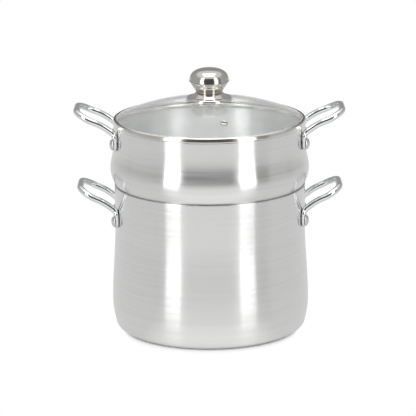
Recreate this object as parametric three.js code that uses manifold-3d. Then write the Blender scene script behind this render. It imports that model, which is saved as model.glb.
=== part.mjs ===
// Two-tier couscoussier: a stock pot, a steamer that sits in the pot's mouth and a domed glass lid.
// Millimetres, +Z up. The origin is the centre of the pot's underside, and the handles lie along X.
import * as THREE from 'three';
import { mergeVertices } from 'three/addons/utils/BufferGeometryUtils.js';
import Module from 'manifold-3d';

const wasm = await Module();
wasm.setup();

// Fits and facets
const CLEARANCE = 0.3; // gap left where one piece rests on or passes through another
const RING_SEGMENTS = 36; // facets round the vessels and the lid
const KNOB_SEGMENTS = 20; // facets round the knob's pressings
const SMALL_SEGMENTS = 8; // facets round rivets, screw, rings and the vent
const HOLE_SEGMENTS = 6; // facets round a punched steam hole
const ROD_SEGMENTS = 8; // facets round the handle rod
const BEND_STEPS = 4; // rings in each bend of the rod
const CURVE_STEPS = 4; // points along each sweep of a vessel's outline
const ROUND_STEPS = 3; // points round each small rounded edge
const DOME_STEPS = 8; // rings from the glass's crown to its edge

// Pot, one drawn aluminium shell
const POT_HEIGHT = 182;
const POT_MOUTH_RADIUS = 118.6;
const POT_WALL = 2.2;
const POT_BELLY_BULGE = 4.4; // belly radius beyond the mouth radius
const POT_BELLY_HEIGHT = 34;
const POT_STRAIGHT_WALL = 50; // upright wall below the rim
const POT_BASE_INSET = 7.2; // mouth radius less the radius of the flat base
const POT_BASE_CORNER = 8;
const POT_BASE_LEAN = 12.5; // outward lean, in degrees, of the wall where it leaves the base corner

// Steamer, a second drawn shell whose rounded lower corner rests in the pot's mouth
const STEAMER_HEIGHT = 91.5;
const STEAMER_WALL = 2;
const STEAMER_CORNER = 36;
const STEAMER_BELLY_BULGE = 4.8; // belly radius beyond the pot's mouth radius
const STEAMER_MOUTH_STEP = 0.2; // mouth radius beyond the pot's mouth radius
const STEAMER_STRAIGHT_WALL = 17; // upright wall below the mouth rim
const STEAM_HOLE_DIAMETER = 5;
const STEAM_HOLE_PITCH = 18;
const STEAM_HOLE_BORDER = 10; // least distance from a hole's centre to the edge of the flat base

// How strongly each sweep of an outline holds its end's direction, as a share of its height
const POT_FOOT_HOLD = 0.36;
const POT_WALL_HOLD = 0.33;
const STEAMER_BELLY_HOLD = 0.3;
const STEAMER_NECK_HOLD = 0.62;

// Loop handles, bent from round rod with the ends pressed flat
const ROD_DIAMETER = 8;
const LEG_SPACING = 66; // between the centre lines of a handle's two legs
const LOOP_CORNER = 20; // bend radius of the outer corners, on the rod's centre line
const ROOT_BEND = 10; // bend radius where a leg turns down to its tab
const TAB_THICKNESS = 4;
const TAB_WIDTH = 14;
const TAB_MARGIN = 1.4; // flat left on the tab above and below the rivet's head
const POT_HANDLE_TILT = 30; // degrees above the horizontal
const POT_HANDLE_LENGTH = 51.5; // along the leg, from the tab's line to the end bar's centre
const POT_RIVET_DROP = 41.3; // from the pot's rim down to the rivets
const STEAMER_HANDLE_TILT = 27.5;
const STEAMER_HANDLE_LENGTH = 52.6;
const STEAMER_RIVET_DROP = 20.6; // from the steamer's rim down to the rivets

// Rivets, with a mushroom head outside and a low upset head inside the wall
const RIVET_HEAD_DIAMETER = 13.5;
const RIVET_HEAD_HEIGHT = 4.2;
const RIVET_SHANK_DIAMETER = 4;
const RIVET_UPSET_DIAMETER = 10;
const RIVET_UPSET_HEIGHT = 1.6;
const RIVET_UPSET_CHAMFER = 0.8;

// Lid rim, a band rolled round the edge of the glass, with a lip that drops into the mouth
const BAND_OVERHANG = 1.2; // band radius beyond the steamer's mouth radius
const BAND_SHEET = 0.8;
const BAND_COVER = 2.8; // how far the top flange reaches in over the glass
const BAND_BEND = 1; // setback of the rolled corners
const LIP_DEPTH = 5;
const LIP_PLAY = 1; // radial play of the lip in the mouth

// Lid glass and its steam vent
const GLASS_THICKNESS = 3;
const GLASS_RISE = 25.2; // from the edge of the upper face to its crown
const GLASS_EDGE = 1; // ground bevels round the edge
const VENT_INSET = 33.4; // from the edge of the glass in to the vent
const VENT_AZIMUTH = -78.2; // degrees from +X
const VENT_COLLAR_WIDTH = 2; // how far the collar reaches over the glass round the tube
const VENT_COLLAR_HEIGHT = 1.3;
const VENT_FLARE_WIDTH = 1.3; // how far the flared end below reaches round the tube
const VENT_FLARE_HEIGHT = 0.7;
const VENT_TUBE_WALL = 1.1;
const VENT_BORE_DIAMETER = 3.4;

// Knob, three steel pressings drawn down on the glass by one screw
const KNOB_SHEET = 0.9;
const NECK_DIAMETER = 32.8;
const NECK_HEIGHT = 2.4;
const FLANGE_HEIGHT = 6.5; // from the crown of the glass to the flange's top
const FLANGE_SPREAD = 11.4; // radial spread of the cone from the neck to the rim
const FLANGE_RIM_HEIGHT = 3.8; // upright edge that meets the glass
const CUP_HEIGHT = 15.5; // from the cup's base to the lip
const KNOB_DIAMETER = 48.4;
const CAP_HEIGHT = 15.9; // from the lip to the top of the knob
const CAP_HOLD = 0.67; // how far the dome holds its direction at the lip and at the top
const CAP_SKIRT = 0.8; // overlap of the cap outside the cup's edge
const SCREW_DIAMETER = 5;
const SCREW_HEAD_DIAMETER = 10;
const SCREW_HEAD_HEIGHT = 3;
const SCREW_HEAD_EDGE = 0.8; // upright edge of the domed head
const SCREW_TIP_DEPTH = 1; // the tip stops this far below the nut's top
const NUT_DIAMETER = 15; // across the corners of the hexagon
const NUT_HEIGHT = 9;
const GROMMET_FOOT_WIDTH = 6.6; // radial spread of the foot outside the sleeve
const GROMMET_SLEEVE_WALL = 1.6;
const GASKET_DIAMETER = 18;
const GASKET_THICKNESS = 1.2;
const WASHER_DIAMETER = 16;
const WASHER_THICKNESS = 1;

// Materials
const metal = (color, roughness) => new THREE.MeshStandardMaterial({ color, roughness, metalness: 1 });
const aluminium = () => metal(0xc6c7c8, 0.38);
const rivetAluminium = () => metal(0xcfcfcd, 0.45);
const chrome = () => metal(0xd8dadc, 0.08);
const stainless = () => metal(0xbdb9b2, 0.16);
const zincSteel = () => metal(0xa9abae, 0.4);
const silicone = () => new THREE.MeshStandardMaterial({ color: 0xd9d9d4, roughness: 0.7, metalness: 0 });
const clearGlass = () => new THREE.MeshStandardMaterial({
  color: 0xdfe8e4,
  roughness: 0.04,
  metalness: 0,
  transparent: true,
  opacity: 0.35,
});

const { degToRad, mapLinear } = THREE.MathUtils;
const point = (r, z) => new THREE.Vector2(r, z);
const lastOf = (list) => list[list.length - 1];

function arcPoints(centre, radiusR, radiusZ, fromDegrees, toDegrees, steps) {
  const clockwise = toDegrees < fromDegrees;
  const from = degToRad(fromDegrees);
  const to = degToRad(toDegrees);
  return new THREE.EllipseCurve(centre.x, centre.y, radiusR, radiusZ, from, to, clockwise).getPoints(steps);
}

function sweepPoints(start, startControl, endControl, end, steps = CURVE_STEPS) {
  return new THREE.CubicBezierCurve(start, startControl, endControl, end).getPoints(steps);
}

// Moves an open outline sideways, to the left of its direction, with mitred corners.
function offsetLine(points, distance) {
  const lefts = points.slice(1).map((end, i) => {
    const along = end.clone().sub(points[i]).normalize();
    return point(-along.y, along.x);
  });
  return points.map((here, i) => {
    const before = lefts[Math.max(i - 1, 0)];
    const after = lefts[Math.min(i, lefts.length - 1)];
    const mitre = before.clone().add(after);
    return here.clone().addScaledVector(mitre, distance / (1 + before.dot(after)));
  });
}

// Cuts each inner corner of an outline back to a short bevel.
function bevelCorners(corners, setback) {
  const points = [corners[0]];
  for (let i = 1; i < corners.length - 1; i += 1) {
    const corner = corners[i];
    const back = corners[i - 1].clone().sub(corner);
    const ahead = corners[i + 1].clone().sub(corner);
    const reach = Math.min(setback, back.length() / 3, ahead.length() / 3);
    points.push(back.setLength(reach).add(corner), ahead.setLength(reach).add(corner));
  }
  points.push(lastOf(corners));
  return points;
}

// The closed section of a pressing of even thickness, from its middle line.
function sheetSection(middle, thickness) {
  const right = offsetLine(middle, -thickness / 2);
  const left = offsetLine(middle, thickness / 2);
  return [...right, ...left.reverse(), right[0].clone()];
}

// The section of an open vessel of even wall with a rounded rim, from its outer line.
function shellSection(outer, wall) {
  const inner = offsetLine(outer, wall).reverse();
  const edge = lastOf(outer);
  const rim = arcPoints(point(edge.x - wall / 2, edge.y), wall / 2, wall / 2, 0, 180, ROUND_STEPS);
  return [...outer, ...rim.slice(1, -1), ...inner];
}

function revolve(section, segments) {
  return new THREE.LatheGeometry(section, segments).rotateX(Math.PI / 2);
}

function toSolid(geometry) {
  const bare = geometry.clone();
  bare.deleteAttribute('normal');
  bare.deleteAttribute('uv');
  const merged = mergeVertices(bare, 1e-4);
  const corners = merged.index.array;
  const kept = [];
  for (let i = 0; i < corners.length; i += 3) {
    const [a, b, c] = corners.slice(i, i + 3);
    if (a !== b && b !== c && c !== a) kept.push(a, b, c);
  }
  const vertProperties = new Float32Array(merged.getAttribute('position').array);
  return new wasm.Manifold(new wasm.Mesh({ numProp: 3, vertProperties, triVerts: new Uint32Array(kept) }));
}

function toGeometry(solid) {
  const mesh = solid.getMesh();
  const geometry = new THREE.BufferGeometry();
  geometry.setAttribute('position', new THREE.BufferAttribute(mesh.vertProperties, 3));
  geometry.setIndex(new THREE.BufferAttribute(mesh.triVerts, 1));
  geometry.computeVertexNormals();
  return geometry;
}

function cut(geometry, punches) {
  const solid = punches.reduce((rest, punch) => rest.subtract(toSolid(punch)), toSolid(geometry));
  return toGeometry(solid);
}

// A punch along Z through a height range.
function uprightPunch(radius, bottom, top, segments) {
  const punch = new THREE.CylinderGeometry(radius, radius, top - bottom, segments);
  return punch.rotateX(Math.PI / 2).translate(0, 0, (top + bottom) / 2);
}

// A punch that runs straight out from the axis at one azimuth and height.
function radialPunch(radius, azimuth, height) {
  const length = 2 * POT_MOUTH_RADIUS;
  const punch = new THREE.CylinderGeometry(radius, radius, length, SMALL_SEGMENTS);
  return punch.rotateZ(Math.PI / 2).translate(length / 2, 0, 0).rotateZ(azimuth).translate(0, 0, height);
}

function named(name, geometry, material) {
  const mesh = new THREE.Mesh(geometry, material);
  mesh.name = name;
  return mesh;
}

// The radii of a vessel's outer line between two heights. The line only ever climbs.
function radiiBetween(outer, low, high) {
  const radiusAt = (height) => {
    const i = outer.findIndex((p) => p.y >= height);
    return mapLinear(height, outer[i - 1].y, outer[i].y, outer[i - 1].x, outer[i].x);
  };
  const between = outer.filter((p) => p.y > low && p.y < high).map((p) => p.x);
  return [radiusAt(low), ...between, radiusAt(high)];
}

// Where a vessel's handles and rivets sit. The tabs lie flat against the wall, so each one faces
// along the wall's own normal, a little to the side of the handle's direction.
const tabReach = RIVET_HEAD_DIAMETER / 2 + TAB_MARGIN;

function handleSeat(outer, wall, rivetHeight, tiltDegrees, length) {
  const upset = RIVET_UPSET_DIAMETER / 2;
  const wallRadius = Math.max(...radiiBetween(outer, rivetHeight - tabReach, rivetHeight + tabReach));
  const innerRadius = Math.min(...radiiBetween(outer, rivetHeight - upset, rivetHeight + upset)) - wall;
  const tabRadius = wallRadius + CLEARANCE + TAB_THICKNESS / 2;
  const azimuth = Math.asin(LEG_SPACING / 2 / tabRadius);
  return { rivetHeight, tabRadius, innerRadius, azimuth, length, tilt: degToRad(tiltDegrees) };
}

// Punches for a vessel's rivets, the two of the +X handle first.
function rivetPunches(seat) {
  const radius = RIVET_SHANK_DIAMETER / 2 + CLEARANCE;
  const azimuths = [seat.azimuth, -seat.azimuth, Math.PI + seat.azimuth, Math.PI - seat.azimuth];
  return azimuths.map((azimuth) => radialPunch(radius, azimuth, seat.rivetHeight));
}

// One ring of the rod: round at full thickness, and a strip with rounded edges where it is thinner.
function rodRing({ centre, tangent, outward, facing, thickness, width }) {
  const pressed = (ROD_DIAMETER - thickness) / (ROD_DIAMETER - TAB_THICKNESS);
  const across = tangent.clone().cross(outward);
  const twist = facing * pressed;
  const thin = outward.clone().multiplyScalar(Math.cos(twist)).addScaledVector(across, -Math.sin(twist));
  const wide = across.clone().multiplyScalar(Math.cos(twist)).addScaledVector(outward, Math.sin(twist));
  const roundness = 1 / (1 + pressed);
  const bulge = (value) => Math.sign(value) * Math.abs(value) ** roundness;
  const ring = [];
  for (let i = 0; i < ROD_SEGMENTS; i += 1) {
    const angle = ((i + 0.5) / ROD_SEGMENTS) * 2 * Math.PI;
    const t = (thickness / 2) * bulge(Math.cos(angle));
    const w = (width / 2) * bulge(Math.sin(angle));
    ring.push(centre.clone().addScaledVector(thin, t).addScaledVector(wide, w));
  }
  return ring;
}

// The front tab, from its rounded end up towards the bend.
function tabStations(seat, root) {
  const tail = seat.rivetHeight - tabReach;
  return [25, 50, 75].map((degrees) => ({
    centre: new THREE.Vector3(root.x, root.y, tail + (TAB_WIDTH / 2) * (1 - Math.cos(degToRad(degrees)))),
    tangent: new THREE.Vector3(0, 0, 1),
    outward: new THREE.Vector3(1, 0, 0),
    facing: seat.azimuth,
    thickness: TAB_THICKNESS,
    width: TAB_WIDTH * Math.sin(degToRad(degrees)),
  }));
}

// The bend where the tab turns out into the leg. The rod regains its round as it leaves the wall, so
// its inner side stays in the tab's plane until it is full.
function rootStations(seat, root) {
  const turn = Math.PI / 2 - seat.tilt;
  const stations = [];
  for (let i = 0; i <= BEND_STEPS; i += 1) {
    const bend = (turn * i) / BEND_STEPS;
    const lift = ROOT_BEND * (1 - Math.cos(bend));
    const room = (TAB_THICKNESS + 2 * lift) / Math.cos(bend);
    const thickness = Math.min(ROD_DIAMETER, room);
    stations.push({
      centre: new THREE.Vector3(root.x + lift, root.y, root.z + ROOT_BEND * Math.sin(bend)),
      tangent: new THREE.Vector3(Math.sin(bend), 0, Math.cos(bend)),
      outward: new THREE.Vector3(Math.cos(bend), 0, -Math.sin(bend)),
      facing: seat.azimuth,
      thickness,
      width: mapLinear(thickness, TAB_THICKNESS, ROD_DIAMETER, TAB_WIDTH, ROD_DIAMETER),
    });
  }
  return stations;
}

// The outer corner of the loop, from the leg's direction round to the end bar.
function cornerStations(seat, root) {
  const along = new THREE.Vector3(Math.cos(seat.tilt), 0, Math.sin(seat.tilt));
  const below = new THREE.Vector3(Math.sin(seat.tilt), 0, -Math.cos(seat.tilt));
  const sideways = new THREE.Vector3(0, 1, 0);
  const setback = ROOT_BEND * Math.tan((Math.PI / 2 - seat.tilt) / 2);
  const centre = new THREE.Vector3(root.x, root.y + LOOP_CORNER, root.z + setback);
  centre.addScaledVector(along, seat.length - LOOP_CORNER);
  const stations = [];
  for (let i = 0; i <= BEND_STEPS; i += 1) {
    const bend = ((Math.PI / 2) * i) / BEND_STEPS;
    const [c, s] = [Math.cos(bend), Math.sin(bend)];
    const arm = along.clone().multiplyScalar(s).addScaledVector(sideways, -c);
    stations.push({
      centre: centre.clone().addScaledVector(arm, LOOP_CORNER),
      tangent: along.clone().multiplyScalar(c).addScaledVector(sideways, s),
      outward: below,
      facing: 0,
      thickness: ROD_DIAMETER,
      width: ROD_DIAMETER,
    });
  }
  return stations;
}

// A closed skin through a row of rings that all have the same number of points.
function loft(rings) {
  const count = rings[0].length;
  const positions = rings.flat().flatMap((p) => [p.x, p.y, p.z]);
  const faces = [];
  for (let r = 0; r < rings.length - 1; r += 1) {
    for (let i = 0; i < count; i += 1) {
      const a = r * count + i;
      const b = r * count + ((i + 1) % count);
      faces.push(a, b, b + count, a, b + count, a + count);
    }
  }
  const end = (rings.length - 1) * count;
  for (let i = 1; i < count - 1; i += 1) {
    faces.push(0, i + 1, i);
    faces.push(end, end + i, end + i + 1);
  }
  const geometry = new THREE.BufferGeometry();
  geometry.setAttribute('position', new THREE.Float32BufferAttribute(positions, 3));
  geometry.setIndex(faces);
  return geometry;
}

// A loop handle for the +X side, pierced for its two rivets.
function handleGeometry(seat) {
  const root = new THREE.Vector3(
    seat.tabRadius * Math.cos(seat.azimuth),
    -LEG_SPACING / 2,
    seat.rivetHeight + tabReach,
  );
  const stations = [...tabStations(seat, root), ...rootStations(seat, root), ...cornerStations(seat, root)];
  const front = stations.map(rodRing);
  const rear = front.map((ring) => ring.map((p) => new THREE.Vector3(p.x, -p.y, p.z))).reverse();
  return cut(loft([...front, ...rear]), rivetPunches(seat).slice(0, 2));
}

// A rivet along X, with X = 0 on the vessel's axis. Its upset head lies against the curved inner wall.
function rivetGeometry(seat) {
  const shank = RIVET_SHANK_DIAMETER / 2;
  const upset = RIVET_UPSET_DIAMETER / 2;
  const facetFlat = Math.cos(Math.PI / RING_SEGMENTS);
  const inner = Math.sqrt((seat.innerRadius * facetFlat) ** 2 - upset ** 2) - CLEARANCE;
  const outer = seat.tabRadius + TAB_THICKNESS / 2 + CLEARANCE;
  const end = inner - RIVET_UPSET_HEIGHT;
  const section = [
    point(0, end),
    point(upset - RIVET_UPSET_CHAMFER, end),
    point(upset, end + RIVET_UPSET_CHAMFER),
    point(upset, inner),
    point(shank, inner),
    point(shank, outer),
    ...arcPoints(point(0, outer), RIVET_HEAD_DIAMETER / 2, RIVET_HEAD_HEIGHT, 0, 90, ROUND_STEPS),
  ];
  return revolve(section, SMALL_SEGMENTS).rotateY(Math.PI / 2);
}

// Adds a vessel's two handles and four rivets. The front of the vessel faces -Y.
function addHandles(group, vessel, seat) {
  const handle = handleGeometry(seat);
  const rivet = rivetGeometry(seat);
  for (const [side, turn, frontSign] of [['left', Math.PI, 1], ['right', 0, -1]]) {
    const holder = new THREE.Group();
    holder.rotation.z = turn;
    holder.add(named(`${vessel}_handle_${side}`, handle, chrome()));
    for (const [end, sign] of [['front', frontSign], ['rear', -frontSign]]) {
      const mesh = named(`${vessel}_rivet_${side}_${end}`, rivet, rivetAluminium());
      mesh.rotation.z = sign * seat.azimuth;
      mesh.position.z = seat.rivetHeight;
      holder.add(mesh);
    }
    group.add(holder);
  }
}

// Pot outline: flat base, small corner, low belly, and a wall that draws in to an upright mouth.
function potOuterLine() {
  const belly = point(POT_MOUTH_RADIUS + POT_BELLY_BULGE, POT_BELLY_HEIGHT);
  const cornerCentre = point(POT_MOUTH_RADIUS - POT_BASE_INSET, POT_BASE_CORNER);
  const turn = [-90, -POT_BASE_LEAN];
  const corner = arcPoints(cornerCentre, POT_BASE_CORNER, POT_BASE_CORNER, ...turn, ROUND_STEPS);
  const foot = lastOf(corner);
  const footHold = POT_FOOT_HOLD * (belly.y - foot.y);
  const lean = degToRad(POT_BASE_LEAN);
  const footControl = point(foot.x + footHold * Math.sin(lean), foot.y + footHold * Math.cos(lean));
  const lower = sweepPoints(foot, footControl, point(belly.x, belly.y - footHold), belly);
  const neck = point(POT_MOUTH_RADIUS, POT_HEIGHT - POT_STRAIGHT_WALL);
  const wallHold = POT_WALL_HOLD * (neck.y - belly.y);
  const bellyControl = point(belly.x, belly.y + wallHold);
  const upper = sweepPoints(belly, bellyControl, point(neck.x, neck.y - wallHold), neck);
  const edge = point(POT_MOUTH_RADIUS, POT_HEIGHT - POT_WALL / 2);
  return [point(0, 0), ...corner, ...lower.slice(1), ...upper.slice(1), edge];
}

function buildPot() {
  const group = new THREE.Group();
  const outer = potOuterLine();
  const rivetHeight = POT_HEIGHT - POT_RIVET_DROP;
  const seat = handleSeat(outer, POT_WALL, rivetHeight, POT_HANDLE_TILT, POT_HANDLE_LENGTH);
  const shell = revolve(shellSection(outer, POT_WALL), RING_SEGMENTS);
  group.add(named('pot_body', cut(shell, rivetPunches(seat)), aluminium()));
  addHandles(group, 'pot', seat);
  return group;
}

const steamerMouthRadius = POT_MOUTH_RADIUS + STEAMER_MOUTH_STEP;
const steamerFlatRadius = POT_MOUTH_RADIUS + STEAMER_BELLY_BULGE - STEAMER_CORNER;

// Steamer outline: flat base, wide rounded corner up to the belly, then an S-curve in to the mouth.
function steamerOuterLine() {
  const cornerCentre = point(steamerFlatRadius, STEAMER_CORNER);
  const corner = arcPoints(cornerCentre, STEAMER_CORNER, STEAMER_CORNER, -90, 0, 2 * CURVE_STEPS);
  const belly = lastOf(corner);
  const neck = point(steamerMouthRadius, STEAMER_HEIGHT - STEAMER_STRAIGHT_WALL);
  const span = neck.y - belly.y;
  const bellyControl = point(belly.x, belly.y + STEAMER_BELLY_HOLD * span);
  const neckControl = point(neck.x, neck.y - STEAMER_NECK_HOLD * span);
  const shoulder = sweepPoints(belly, bellyControl, neckControl, neck);
  const edge = point(steamerMouthRadius, STEAMER_HEIGHT - STEAMER_WALL / 2);
  return [point(0, 0), ...corner, ...shoulder.slice(1), edge];
}

// Height of the steamer's underside, where its corner meets the round of the pot's rim.
function steamerSeatHeight() {
  const rimRadius = POT_WALL / 2;
  const across = POT_MOUTH_RADIUS - rimRadius - steamerFlatRadius;
  const reach = STEAMER_CORNER + rimRadius + CLEARANCE;
  return POT_HEIGHT - rimRadius + Math.sqrt(reach ** 2 - across ** 2) - STEAMER_CORNER;
}

// Steam holes in rings round one at the centre, six more in each ring.
function steamHolePunches() {
  const rings = Math.floor((steamerFlatRadius - STEAM_HOLE_BORDER) / STEAM_HOLE_PITCH);
  const punches = [];
  for (let ring = 0; ring <= rings; ring += 1) {
    const count = Math.max(1, 6 * ring);
    const distance = ring * STEAM_HOLE_PITCH;
    for (let i = 0; i < count; i += 1) {
      const angle = (2 * Math.PI * i) / count;
      const punch = uprightPunch(STEAM_HOLE_DIAMETER / 2, -STEAMER_WALL, 2 * STEAMER_WALL, HOLE_SEGMENTS);
      punches.push(punch.translate(distance * Math.cos(angle), distance * Math.sin(angle), 0));
    }
  }
  return punches;
}

function buildSteamer() {
  const group = new THREE.Group();
  const outer = steamerOuterLine();
  const rivetHeight = STEAMER_HEIGHT - STEAMER_RIVET_DROP;
  const seat = handleSeat(outer, STEAMER_WALL, rivetHeight, STEAMER_HANDLE_TILT, STEAMER_HANDLE_LENGTH);
  const shell = revolve(shellSection(outer, STEAMER_WALL), RING_SEGMENTS);
  const punches = [...rivetPunches(seat), ...steamHolePunches()];
  group.add(named('steamer_body', cut(shell, punches), aluminium()));
  addHandles(group, 'steamer', seat);
  return group;
}

// The glass is a spherical cap of even thickness. Z = 0 of the lid is the face that rests on the mouth.
const bandRadius = steamerMouthRadius + BAND_OVERHANG;
const glassRadius = bandRadius - BAND_SHEET - CLEARANCE;
const crownRadius = (glassRadius ** 2 + GLASS_RISE ** 2) / (2 * GLASS_RISE);
const hollowRadius = crownRadius - GLASS_THICKNESS;
const domeCentre = BAND_SHEET + CLEARANCE - Math.sqrt(hollowRadius ** 2 - glassRadius ** 2);
const glassCrown = domeCentre + crownRadius;
const domeHeight = (sphereRadius, r) => domeCentre + Math.sqrt(sphereRadius ** 2 - r ** 2);

const screwBore = SCREW_DIAMETER / 2 + CLEARANCE;
const grommetRadius = screwBore + GROMMET_SLEEVE_WALL;
const ventTubeRadius = VENT_BORE_DIAMETER / 2 + VENT_TUBE_WALL;

// Turns something that stands on the dome's axis, measured from the dome's centre, out to the vent.
function placeAtVent(mesh) {
  mesh.rotation.order = 'ZYX';
  mesh.rotation.z = degToRad(VENT_AZIMUTH);
  mesh.rotation.y = Math.asin((glassRadius - VENT_INSET) / crownRadius);
  mesh.position.z = domeCentre;
  mesh.updateMatrix();
  return mesh;
}

function lidGlass() {
  const radii = Array.from({ length: DOME_STEPS + 1 }, (_, i) => (glassRadius * i) / DOME_STEPS);
  const under = radii.map((r) => point(r, domeHeight(hollowRadius, r)));
  const over = radii.map((r) => point(r, domeHeight(crownRadius, r))).reverse();
  const edge = bevelCorners([...under.slice(-2), ...over.slice(0, 2)], GLASS_EDGE);
  const section = [...under.slice(0, -2), ...edge, ...over.slice(2)];
  const knobHole = uprightPunch(grommetRadius + CLEARANCE, 0, 2 * glassCrown, KNOB_SEGMENTS);
  const ventBore = ventTubeRadius + CLEARANCE;
  const ventHole = uprightPunch(ventBore, hollowRadius / 2, 2 * crownRadius, SMALL_SEGMENTS);
  ventHole.applyMatrix4(placeAtVent(new THREE.Mesh(ventHole)).matrix);
  return cut(revolve(section, RING_SEGMENTS), [knobHole, ventHole]);
}

function lidRimBand() {
  const half = BAND_SHEET / 2;
  const flangeSphere = crownRadius + CLEARANCE + half;
  const wall = bandRadius - half;
  const innerEdge = bandRadius - BAND_COVER;
  const lip = steamerMouthRadius - STEAMER_WALL - LIP_PLAY - half;
  const corners = [
    point(lip, half - LIP_DEPTH),
    point(lip, half),
    point(wall, half),
    point(wall, domeHeight(flangeSphere, wall)),
    point(innerEdge, domeHeight(flangeSphere, innerEdge)),
  ];
  return revolve(sheetSection(bevelCorners(corners, BAND_BEND), BAND_SHEET), RING_SEGMENTS);
}

// An eyelet set through the glass: a domed collar above, a tube, and a flared end below.
function ventEyelet() {
  const bore = VENT_BORE_DIAMETER / 2;
  const collar = ventTubeRadius + VENT_COLLAR_WIDTH;
  const flare = ventTubeRadius + VENT_FLARE_WIDTH;
  const above = crownRadius + CLEARANCE;
  const below = hollowRadius - CLEARANCE;
  const middle = (collar + bore) / 2;
  const section = [
    point(bore, below - VENT_FLARE_HEIGHT),
    point(flare, below - VENT_FLARE_HEIGHT),
    point(flare, below),
    point(ventTubeRadius, below),
    point(ventTubeRadius, above),
    ...arcPoints(point(middle, above), collar - middle, VENT_COLLAR_HEIGHT, 0, 180, 2 * ROUND_STEPS),
    point(bore, below - VENT_FLARE_HEIGHT),
  ];
  return revolve(section, SMALL_SEGMENTS);
}

const flangeTop = glassCrown + FLANGE_HEIGHT;
const cupBottom = flangeTop + CLEARANCE;
const knobLip = cupBottom + CUP_HEIGHT;
const nutBottom = cupBottom + KNOB_SHEET + CLEARANCE;

// The conical foot of the knob, with an upright rim that meets the glass.
function knobFlange() {
  const half = KNOB_SHEET / 2;
  const neck = NECK_DIAMETER / 2;
  const rim = neck + FLANGE_SPREAD;
  const rimFoot = domeHeight(crownRadius, rim) + CLEARANCE;
  const corners = [
    point(rim - half, rimFoot),
    point(rim - half, rimFoot + FLANGE_RIM_HEIGHT),
    point(neck, flangeTop - half),
    point(screwBore, flangeTop - half),
  ];
  return revolve(sheetSection(bevelCorners(corners, KNOB_SHEET), KNOB_SHEET), KNOB_SEGMENTS);
}

// The lower half of the grip, from its flat base through the neck to the cone's edge.
function knobCup() {
  const half = KNOB_SHEET / 2;
  const neck = NECK_DIAMETER / 2 - half;
  const edge = KNOB_DIAMETER / 2 - KNOB_SHEET - CLEARANCE - half;
  const corners = [
    point(screwBore, cupBottom + half),
    point(neck, cupBottom + half),
    point(neck, cupBottom + NECK_HEIGHT),
    point(edge, knobLip),
  ];
  return revolve(sheetSection(bevelCorners(corners, KNOB_SHEET), KNOB_SHEET), KNOB_SEGMENTS);
}

// One face of the cap's full dome, from the lip up to the top.
function capFace(radius, height) {
  const top = knobLip + height;
  const lipControl = point(radius, knobLip + CAP_HOLD * height);
  const topControl = point(CAP_HOLD * radius, top);
  return sweepPoints(point(radius, knobLip), lipControl, topControl, point(0, top), 2 * ROUND_STEPS);
}

// The domed upper half of the grip, crimped over the cup's edge at a sharp lip.
function knobCap() {
  const lip = KNOB_DIAMETER / 2;
  const inside = capFace(lip - KNOB_SHEET, CAP_HEIGHT - KNOB_SHEET).reverse();
  const outside = capFace(lip, CAP_HEIGHT);
  const skirt = [lip - KNOB_SHEET, lip - KNOB_SHEET / 2].map((r) => point(r, knobLip - CAP_SKIRT));
  return revolve([...inside, ...skirt, ...outside], KNOB_SEGMENTS);
}

function knobNut() {
  const nut = new THREE.CylinderGeometry(NUT_DIAMETER / 2, NUT_DIAMETER / 2, NUT_HEIGHT, 6);
  nut.rotateX(Math.PI / 2).translate(0, 0, nutBottom + NUT_HEIGHT / 2);
  const bore = uprightPunch(screwBore, nutBottom - NUT_HEIGHT, nutBottom + 2 * NUT_HEIGHT, SMALL_SEGMENTS);
  return cut(nut, [bore]);
}

// Soft grommet between glass and flange, with a sleeve that keeps the screw off the glass.
function glassGrommet() {
  const foot = grommetRadius + GROMMET_FOOT_WIDTH;
  const top = flangeTop - KNOB_SHEET - CLEARANCE;
  const footBottom = glassCrown + CLEARANCE;
  const sleeveBottom = glassCrown - GLASS_THICKNESS;
  const section = [
    point(screwBore, sleeveBottom),
    point(grommetRadius, sleeveBottom),
    point(grommetRadius, footBottom),
    point(foot, footBottom),
    point(foot, (footBottom + top) / 2),
    point((foot + grommetRadius) / 2, top),
    point(screwBore, top),
    point(screwBore, sleeveBottom),
  ];
  return revolve(section, KNOB_SEGMENTS);
}

const gasketTop = domeHeight(hollowRadius, GASKET_DIAMETER / 2) - CLEARANCE;
const washerTop = gasketTop - GASKET_THICKNESS - CLEARANCE;
const screwHeadTop = washerTop - WASHER_THICKNESS - CLEARANCE;

// A flat ring round the screw.
function screwRing(diameter, top, thickness) {
  const outer = diameter / 2;
  const bottom = top - thickness;
  const section = [
    point(screwBore, bottom),
    point(outer, bottom),
    point(outer, top),
    point(screwBore, top),
    point(screwBore, bottom),
  ];
  return revolve(section, KNOB_SEGMENTS);
}

function knobScrew() {
  const shank = SCREW_DIAMETER / 2;
  const head = SCREW_HEAD_DIAMETER / 2;
  const tip = nutBottom + NUT_HEIGHT - SCREW_TIP_DEPTH;
  const domeTop = point(0, screwHeadTop - SCREW_HEAD_EDGE);
  const section = [
    ...arcPoints(domeTop, head, SCREW_HEAD_HEIGHT - SCREW_HEAD_EDGE, -90, 0, ROUND_STEPS),
    point(head, screwHeadTop),
    point(shank, screwHeadTop),
    point(shank, tip),
    point(0, tip),
  ];
  return revolve(section, SMALL_SEGMENTS);
}

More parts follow.
